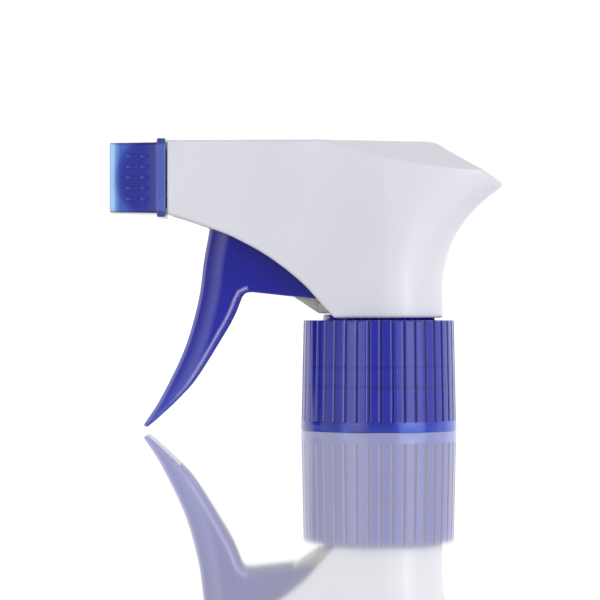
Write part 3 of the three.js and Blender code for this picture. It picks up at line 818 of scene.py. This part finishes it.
def build_thread():
    """The internal thread: a tapered ridge swept up its helix, sinking into the wall at both ends."""
    steps = int(THREAD_TURNS * THREAD_STEPS) + 1
    turn = np.linspace(0, THREAD_TURNS, steps)
    rise = np.clip(np.minimum(turn, THREAD_TURNS - turn) / THREAD_FADE, 0, 1)
    rise = THREAD_SUNK + (1 - THREAD_SUNK) * rise * rise * (3 - 2 * rise)
    verts = []
    for along, height in zip(turn, rise):
        a = 2 * math.pi * along
        for radius, up in THREAD_SECTION:
            r = THREAD_ROOT - (THREAD_ROOT - radius) * height
            verts.append((r * math.cos(a), r * math.sin(a), THREAD_Z + PITCH * along + up))
    count = len(THREAD_SECTION)
    faces = ring_faces(steps, count, False)
    faces += [tuple(range(count)), tuple(range((steps - 1) * count, steps * count))]
    obj = new_object("closure_thread", verts, faces,
                     "closure", "closure", CLOSURE_BLUE)
    tidy_normals(obj)
    obj.data.set_sharp_from_angle(angle=math.radians(SHARP_THREAD))


build_closure()
build_thread()


# ----------------------------------------------------------------------- trigger

TRIGGER_FRONT = smooth_path([(-38.4, 49.0), (-36.8, 45.5), (-37.1, 42.4), (-38.05, 37.1),
                             (-39.25, 28.4), (-42.25, 17.9), (-47.3, 7.4), (-50.8, 1.9)])
TRIGGER_REAR = smooth_path([(-48.4, 2.5), (-44.0, 6.6), (-39.9, 11.3), (-34.0, 20.7), (-31.7, 24.8),
                            (-30.2, 28.4)])
CHANNEL_FRONT = smooth_path([(-35.4, 47.5), (-35.8, 42.9), (-36.8, 37.1), (-38.0, 28.4),
                             (-41.0, 18.2), (-45.6, 8.8)])
TRIGGER_SIDE = polyline_sdf(
    TRIGGER_REAR + [(-29.9, 29.2), (-29.3, 29.9), (-28.6, 30.15), (-27.6, 30.2), (-18.5, 29.2),
                    (-13.5, 28.8), (-13.5, 31.5), (-24.0, 40.0), (-31.5, 47.5), (-37.6, 47.5)]
    + TRIGGER_FRONT[6:] + [(-51.1, 1.4), (-50.9, 1.05), (-50.3, 0.95)])
FRONT_FIELD = polyline_sdf(TRIGGER_FRONT + [(-53.0, -4.0), (40.0, -4.0), (40.0, 90.0), (-38.6, 90.0)])
CHANNEL = polyline_sdf(CHANNEL_FRONT + [(-45.0, 7.6), (-20.0, 7.6), (0.0, 20.0), (0.0, 70.0),
                                        (-60.0, 70.0), (-60.0, 47.5)])
EAR = polyline_sdf([(-37.0, 44.0), (-31.0, 42.0), (-30.5, 46.0), (-33.0, 50.0)]
                   + arc(*PIVOT, 3.4, 0, 180, 20) + [(-38.6, 49.0)])
SPINE = polyline_sdf([(-47.6, 6.0), (-42.6, 9.5), (-34.5, 23.0), (-34.0, 32.0), (-37.6, 32.0),
                      (-41.8, 17.9)])
REAR_FIELD = polyline_sdf(TRIGGER_REAR + [(-29.6, 29.6), (-28.0, 31.0), (-20.0, 31.0), (-20.0, -4.0),
                                          (-53.0, -4.0), (-50.9, 0.9)])


def rim_width(x, z):
    """Width of the strip along the rear edge; it runs out at the corner under the web."""
    corner = np.clip((-28.4 - x) / 2.4, 0, 1) ** 0.5
    return (0.35 + 0.55 * np.clip((z - 4.0) / 18.0, 0, 1)) * corner, np.clip(corner * 2.5, 0, 1)


def trigger_shape(x, y, z):
    """Lever with a rolled front, a channel, a stepped rear edge, ears, a spine and a pusher bar."""
    side = TRIGGER_SIDE(x, z)
    behind = -FRONT_FIELD(x, z)
    roll = np.clip(1 - behind / 5.0, 0, 1.3)
    rim, lever = rim_width(x, z)
    edge = REAR_FIELD(x, z)
    step = np.clip((rim + 0.15 - edge) / 0.3, 0, 1)
    step = step * step * (3 - 2 * step)
    bead = np.clip(1 - np.abs(edge - rim - 0.25) / 0.45, 0, 1) ** 2
    relief = (RIM_STEP * step - BEAD_H * bead) * lever
    flank = (np.abs(y) - TRIGGER_HALF + FRONT_ROLL * roll * roll + relief) * 0.8
    solid = both(side, flank, 0.45)
    hollow = np.abs(y) - CHANNEL_HALF + CHANNEL_ROLL * roll * roll
    shell = less(solid, both(CHANNEL(x, z), hollow, 0.5), 0.3)
    ears = both(EAR(x, z), np.abs(np.abs(y) - EAR_MID) - EAR_HALF, 0.25)
    spine = both(SPINE(x, z), np.abs(y) - 0.6, 0.2)
    shape = either(either(shell, ears, 0.3), spine, 0.5)
    bar = np.sqrt((x - PUSHER[0]) ** 2 + (z - PUSHER[1]) ** 2) - PUSHER_R
    shape = either(shape, both(bar, np.abs(y) - PUSHER_HALF, 0.1), 0.4)
    hole = np.sqrt((x - PIVOT[0]) ** 2 + (z - PIVOT[1]) ** 2) - PIN_HOLE_R
    return less(shape, hole, 0.15)


def lever_highlight_line(x, y, z):
    """Where to paint a highlight line: beside the rear strip and along the front edge."""
    rim, lever = rim_width(x, z)
    # Painted highlight along the rear strip and, fainter, along the front edge.
    rear = np.clip(1 - np.abs(REAR_FIELD(x, z) - rim - 0.2) / 0.4, 0, 1) * lever
    rear = rear * np.clip((z - 5.0) / 6.0, 0.15, 1)
    front = 0.45 * np.clip(1 - np.abs(-FRONT_FIELD(x, z) - 0.45) / 0.4, 0, 1)
    return np.where(np.abs(y) > 4.5, np.maximum(rear, front * (z < 46.5)), 0.0)


def build_trigger():
    """The lever, with the strength of its painted highlight line stored at each vertex for the lever's
    material.
    """
    obj = carve("trigger_lever", trigger_shape, (-52.2, -8.6, 0.2), (-12.6, 8.6, 61.4), 0.3,
                "trigger", "trigger", TRIGGER_BLUE)
    spots = np.array([v.co for v in obj.data.vertices]) / MM
    painted_edge_light = obj.data.attributes.new("painted_edge_light", "FLOAT", "POINT")
    painted_edge_light.data.foreach_set("value", lever_highlight_line(*spots.T).astype(np.float32))


build_trigger()


# --------------------------------------------------------------------- pump body

GUSSET = polyline_sdf([(-19.6, 33.0), (-19.6, 30.6), (-18.3, 29.0), (-13.7, 26.0), (-6.0, 26.0),
                       (-2.0, 33.0)])
BRACE = polyline_sdf([(-1.0, 44.0), (-15.0, 44.0), (-32.0, 52.5), (-1.0, 52.5)])


def pump_shape(x, y, z):
    """Pump body: its outside first, then the bores, then the groove for the nozzle's seal."""
    bz, cz = z - BARREL_Z, z - CYLINDER_Z
    from_barrel = np.sqrt(y * y + bz * bz)
    from_ridge = np.abs(x - RIDGE_X)
    drum = tube(x, y, z, DRUM_R, DRUM_Z, 28.5, 0.4)
    lug = block(x, y, z, (-13.3, -5.0, DRUM_Z), (-8.0, 5.0, 27.9), 0.4)
    stem = tube(x, y, z, STEM_R, DRUM_Z + 1, STEM_TOP, 0.5)
    cylinder = tube(y, cz, x, CYLINDER_R, *CYLINDER_X, 0.4)
    barrel = tube(y, bz, x, BARREL_R, *BARREL_X, 0.3)
    ridge = both(from_barrel - 4.4 + from_ridge * 1.15, from_ridge - 0.4, 0.05)
    gusset = both(GUSSET(x, z), np.abs(y) - 3.2, 0.4)
    brace = both(BRACE(x, z), np.abs(y) - 0.8, 0.3)
    fin = block(x, y, z, (-9.0, -0.8, 57.0), (1.0, 0.8, 61.6), 0.3)
    pin = np.sqrt((x - PIVOT[0]) ** 2 + (z - PIVOT[1]) ** 2)
    bosses = both(pin - PIN_BOSS_R, np.abs(y) - PIN_BOSS_HALF, 0.3)
    pins = either(bosses, both(pin - PIN_R, np.abs(y) - PIN_HALF, 0.3), 0.2)
    body = either(either(drum, lug, 0.2), stem, 1.0)
    body = either(either(body, cylinder, 0.8), gusset, 0.5)
    body = either(either(body, barrel, 0.8), brace, 0.4)
    body = either(either(body, fin, 0.3), either(pins, ridge, 0.05), 0.4)
    for radius, low, high, mouth in ((9.5, 20.0, 27.1, 0.2), (2.35, 26.0, 29.25, 0.1),
                                     (1.8, 28.0, 55.0, 0.1)):
        body = less(body, tube(x, y, z, radius, low, high, 0.1), mouth)
    for radius, low, high, mouth in ((1.6, -39.0, 0.0, 0.1), (2.5, -56.0, -38.0, 0.15)):
        body = less(body, tube(y, bz, x, radius, low, high, 0.1), mouth)
    body = less(body, tube(y, cz, x, CYLINDER_BORE_R, -27.0, -5.2, 0.1), 0.25)
    return less(body, both(3.3 - from_barrel, np.abs(x - SEAL_X) - 0.55, 0.05), 0.1)


carve("pump_moulding", pump_shape, (-53.0, -13.4, 24.8), (13.4, 13.4, 62.4), 0.45,
      "head", "pump_body", NATURAL)


# ------------------------------------------------------------------------ nozzle

def ray_angles():
    """Angles round a square, closer together at its corners."""
    quarter = np.concatenate([np.linspace(-38, 38, 13), np.linspace(40, 50, 9)])
    return np.radians(np.concatenate([quarter + 90 * k for k in range(4)]))


def square_ray(angle, half, corner):
    """Distance from the centre to a rounded square along each angle."""
    a = np.abs((angle + math.pi / 4) % (math.pi / 2) - math.pi / 4)
    flat = half / np.cos(a)
    c = half - corner
    dot = c * (np.cos(a) + np.sin(a))
    turn = dot + np.sqrt(np.maximum(dot * dot - 2 * c * c + corner * corner, 0))
    return np.where(half * np.tan(a) <= c, flat, turn)


NOZZLE_RINGS = [  # distance along X, half size, corner radius
    (-56.2, 0.5, 0.5), (-57.4, 0.5, 0.5), (-57.6, 0.7, 0.7), (-57.6, 1.9, 1.9), (-57.6, 3.0, 3.0),
    (-57.7, 3.25, 3.25), (-57.9, 3.38, 3.38), (-58.2, 3.45, 3.45), (-58.34, 3.52, 3.52),
    (-58.4, 3.7, 3.7), (-58.4, 5.2, 3.4), (-58.4, 7.25, 0.55), (-58.37, 7.4, 0.6),
    (-58.3, 7.5, 0.62), (-58.15, 7.54, 0.65), (-57.9, 7.55, 0.7), (-55.0, 7.59, 0.7),
    (-52.0, 7.64, 0.7), (-48.5, 7.69, 0.7), (-48.28, 7.74, 0.75), (-48.2, 7.9, 0.8),
    (-48.2, 8.3, 0.7), (-48.15, 8.44, 0.75), (-48.05, 8.53, 0.8), (-47.9, 8.55, 0.8),
    (-46.6, 8.55, 0.8), (-46.45, 8.53, 0.8), (-46.34, 8.44, 0.75), (-46.3, 8.3, 0.7),
    (-46.3, 6.65, 0.8), (-46.4, 6.45, 0.75), (-46.6, 6.4, 0.7), (-52.0, 6.38, 0.7),
    (-56.0, 6.35, 0.7), (-56.3, 6.25, 1.2), (-56.4, 6.0, 2.2), (-56.4, 5.85, 5.2),
    (-56.3, 5.65, 5.65), (-56.0, 5.6, 5.6), (-47.2, 5.6, 5.6), (-47.05, 5.53, 5.53),
    (-47.0, 5.35, 5.35), (-47.0, 4.35, 4.35), (-47.1, 4.15, 4.15), (-47.4, 4.08, 4.08),
    (-48.4, 4.08, 4.08), (-48.7, 4.6, 4.6), (-49.1, 4.6, 4.6), (-49.4, 4.08, 4.08),
    (-55.7, 4.08, 4.08), (-55.95, 4.0, 4.0), (-56.0, 3.8, 3.8), (-56.0, 0.7, 0.7),
]


BAR_PITCH = 2.3
BAR_SIZE = (0.75, 0.7)
BAR_COLUMNS = ((2.3, -53.7), (2.0, -50.7))
BAR_Y = 7.52
BAR_EDGE = 0.16
SHARP_NOZZLE = 35


def raised_bar(length, x, z, side):
    """Soft-edged raised bar on a side of the nozzle, as vertices and faces."""
    width, height = BAR_SIZE
    bm = bmesh.new()
    bmesh.ops.create_cube(bm, size=1.0)
    bmesh.ops.scale(bm, vec=(length, height, width), verts=bm.verts)
    bmesh.ops.bevel(bm, geom=bm.edges[:], offset=BAR_EDGE, segments=2, affect="EDGES", profile=0.5)
    verts = np.array([v.co for v in bm.verts])
    faces = [tuple(v.index for v in f.verts) for f in bm.faces]
    bm.free()
    return verts + np.array((x, side * BAR_Y, z)), faces


def build_nozzle():
    """Square cap with its orifice, flange and inner sleeve, and plain bars on both sides."""
    angle = ray_angles()
    rings = []
    for x, half, corner in NOZZLE_RINGS:
        r = square_ray(angle, half, min(corner, half))
        y, z = r * np.cos(angle), BARREL_Z + r * np.sin(angle)
        rings.append(np.stack([np.full_like(r, x), y, z], 1))
    verts = np.concatenate(rings)
    faces = ring_faces(len(rings), len(angle), True)
    bars = [(length, x, BARREL_Z + BAR_PITCH * k) for k in range(-2, 3) for length, x in BAR_COLUMNS]
    for side in (-1, 1):
        for length, x, z in bars:
            v, f = raised_bar(length, x, z, side)
            faces += [tuple(i + len(verts) for i in face) for face in f]
            verts = np.vstack([verts, v])
    obj = new_object("nozzle_square", verts, faces,
                     "nozzle", "nozzle_cap", NOZZLE_BLUE)
    tidy_normals(obj)
    obj.data.set_sharp_from_angle(angle=math.radians(SHARP_NOZZLE))


build_nozzle()


# ------------------------------------------------------------------ turned pieces

lathe("tube_adapter_core", [
    (3.5, 14.0), (4.3, 14.0), (4.3, 20.9, 0.5), (12.4, 20.9), (12.4, 22.2), (9.2, 22.2), (9.2, 26.8),
    (2.35, 26.8), (2.35, 25.8, 0.05), (1.5, 25.8, 0.05), (1.5, 23.0), (3.1, 23.0), (3.1, 14.5),
    (3.5, 14.0),
], "z", (0, 0), "head", "tube_adapter", NATURAL)

lathe("gasket_ring", [(9.6, 19.5), (13.7, 19.5), (13.7, 20.6), (9.6, 20.6), (9.6, 19.5)],
      "z", (0, 0), "head", "gasket", SEAL_WHITE, radius=0.3)

lathe("piston_push_rod", [
    (0, -30.0), (4.0, -30.0), (4.0, -28.8), (2.9, -28.4), (2.9, -23.9), (4.6, -23.7), (4.6, -22.9),
    (2.2, -22.9), (2.2, -19.8), (1.8, -19.4), (0, -19.4),
], "x", (0, CYLINDER_Z), "piston", "piston_rod", NATURAL)

lathe("piston_seal_cup", [
    (2.5, -22.6), (5.1, -22.6), (5.42, -22.1), (5.12, -21.2), (5.12, -19.6), (5.42, -18.2),
    (4.82, -18.2), (4.52, -20.2), (2.5, -20.2), (2.5, -22.6),
], "x", (0, CYLINDER_Z), "piston", "piston_cup", SEAL_WHITE, radius=0.15)

lathe("swirl_plug", [
    (0, -53.6), (3.2, -53.6), (3.2, -52.3), (2.3, -52.3), (2.3, -46.0), (0, -46.0),
], "x", (0, BARREL_Z), "head", "swirl_insert", NATURAL)

lathe("nozzle_seal_ring", [(3.72 + 0.33 * math.cos(a), SEAL_X + 0.33 * math.sin(a))
                           for a in np.linspace(0, 2 * math.pi, 17)[:-1]] + [(4.05, SEAL_X)],
      "x", (0, BARREL_Z), "head", "nozzle_seal", RUBBER, radius=0.0)


def steel_ball(name, radius, x, z, body, node):
    """Ball turned from half a circle."""
    half = [(radius * math.sin(a), x - radius * math.cos(a)) for a in np.linspace(0, math.pi, 25)]
    lathe(name, half, "x", (0, z), body, node, BALL, count=48, radius=0.0)


steel_ball("inlet_check_ball", 2.0, 0.0, 27.22, "inlet_valve", "inlet_ball")
steel_ball("outlet_check_ball", 2.2, -39.61, BARREL_Z, "outlet_valve", "outlet_ball")


def coil_spring(name, radius, wire, x0, x1, coils, z, node):
    """Compression spring with closed ends, wound along X."""
    steps, sides = coils * 28, 10
    t = np.arange(steps + 1) / steps
    turn = t * coils
    closed = 2 * wire * 1.05
    free = (x1 - x0 - 2 * wire - 2 * closed) / (coils - 2)
    x = x0 + wire + np.where(turn < 1, turn * closed, np.where(
        turn > coils - 1, x1 - x0 - 2 * wire - (coils - turn) * closed, closed + (turn - 1) * free))
    a = turn * 2 * math.pi
    rings = []
    for k in range(steps + 1):
        out = np.array((0, math.cos(a[k]), math.sin(a[k])))
        side = np.array((1.0, 0, 0))
        centre = np.array((x[k], 0, z)) + radius * out
        b = np.arange(sides) / sides * 2 * math.pi
        rings.append(centre + wire * (np.cos(b)[:, None] * out + np.sin(b)[:, None] * side))
    verts = np.concatenate(rings)
    faces = ring_faces(len(rings), sides, False)
    faces.append(tuple(range(sides)))
    faces.append(tuple(range(len(verts) - 1, len(verts) - sides - 1, -1)))
    obj = new_object(name, verts, faces, "head", node, WIRE)
    tidy_normals(obj)
    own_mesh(obj)


coil_spring("piston_return_spring", 3.7, 0.4, -19.6, -5.7, 6, CYLINDER_Z, "piston_spring")
coil_spring("outlet_check_spring", 1.5, 0.2, -45.85, -41.4, 5, BARREL_Z, "outlet_spring")


# ------------------------------------------------------------------------- stage

def light(name, at, size, radiance):
    """Rectangular softbox of a given radiance, aimed at the head."""
    data = bpy.data.lights.new(name, "AREA")
    data.shape = "RECTANGLE"
    data.size, data.size_y = size[0] * MM, size[1] * MM
    data.energy = radiance * math.pi * data.size * data.size_y
    obj = bpy.data.objects.new(name, data)
    bpy.context.collection.objects.link(obj)
    obj.location = Vector(at) * MM
    away = Vector(at) - Vector(SOFTBOX_AIM)
    obj.rotation_euler = away.to_track_quat("Z", "Y").to_euler()


def build_world():
    """White studio: bright all round, dimmer on the side the camera looks from."""
    world = bpy.data.worlds.new("studio")
    world.use_nodes = True
    tree = world.node_tree
    back = tree.nodes["Background"]
    back.inputs["Color"].default_value = (1, 1, 1, 1)
    split = tree.nodes.new("ShaderNodeSeparateXYZ")
    tree.links.new(tree.nodes.new("ShaderNodeTexCoord").outputs["Generated"], split.inputs[0])
    depth = tree.nodes.new("ShaderNodeMapRange")
    depth.inputs["From Min"].default_value = -1.0
    tree.links.new(split.outputs["Y"], depth.inputs["Value"])
    level = tree.nodes.new("ShaderNodeFloatCurve")
    top = max(value for _, value in STUDIO)
    points = level.mapping.curves[0].points
    points[0].location = (STUDIO[0][0], STUDIO[0][1] / top)
    points[1].location = (STUDIO[-1][0], STUDIO[-1][1] / top)
    for at, value in STUDIO[1:-1]:
        points.new(at, value / top)
    level.mapping.update()
    tree.links.new(depth.outputs["Result"], level.inputs["Value"])
    dim = tree.nodes.new("ShaderNodeMath")
    dim.operation = "MULTIPLY"
    dim.inputs[1].default_value = top
    tree.links.new(level.outputs["Value"], dim.inputs[0])
    above = tree.nodes.new("ShaderNodeMapRange")
    for key, value in (("From Min", OVERHEAD_RISE[0]), ("From Max", OVERHEAD_RISE[1]),
                       ("To Min", 1.0), ("To Max", OVERHEAD)):
        above.inputs[key].default_value = value
    tree.links.new(split.outputs["Z"], above.inputs["Value"])
    shaded = tree.nodes.new("ShaderNodeMath")
    shaded.operation = "MULTIPLY"
    tree.links.new(dim.outputs["Value"], shaded.inputs[0])
    tree.links.new(above.outputs["Result"], shaded.inputs[1])
    seen = tree.nodes.new("ShaderNodeMix")
    tree.links.new(tree.nodes.new("ShaderNodeLightPath").outputs["Is Camera Ray"],
                   seen.inputs["Factor"])
    tree.links.new(shaded.outputs["Value"], seen.inputs["A"])
    seen.inputs["B"].default_value = BACKDROP
    tree.links.new(seen.outputs["Result"], back.inputs["Strength"])
    bpy.context.scene.world = world


def build_stage():
    """Mirror-like white table, the studio round it and its softboxes."""
    mesh = bpy.data.meshes.new("table")
    s = TABLE_HALF_M
    mesh.from_pydata([(-s, -s, 0), (s, -s, 0), (s, s, 0), (-s, s, 0)], [], [(0, 1, 2, 3)])
    table = bpy.data.objects.new("table", mesh)
    bpy.context.collection.objects.link(table)
    g = Graph("table_white")
    g.set(Base_Color=(1, 1, 1, 1), Metallic=1.0, Roughness=0.03)
    strength = TABLE_GLOW / (1 - TABLE_MIRROR)
    glow = g.node("ShaderNodeEmission", {"Color": (1, 1, 1, 1), "Strength": strength})
    glass = g.node("ShaderNodeMixShader", {"Fac": TABLE_MIRROR})
    g.tree.links.new(glow.outputs[0], glass.inputs[1])
    g.tree.links.new(g.shader.outputs[0], glass.inputs[2])
    g.tree.links.new(glass.outputs[0], g.tree.nodes["Material Output"].inputs["Surface"])
    mesh.materials.append(g.material)
    build_world()
    for name, turn, wide, tall, level in SOFTBOXES:
        bearing = math.radians(turn)
        at = (SOFTBOX_AWAY * math.sin(bearing), -SOFTBOX_AWAY * math.cos(bearing), SOFTBOX_HEIGHT)
        light(name, at, (wide, tall), level)


build_stage()
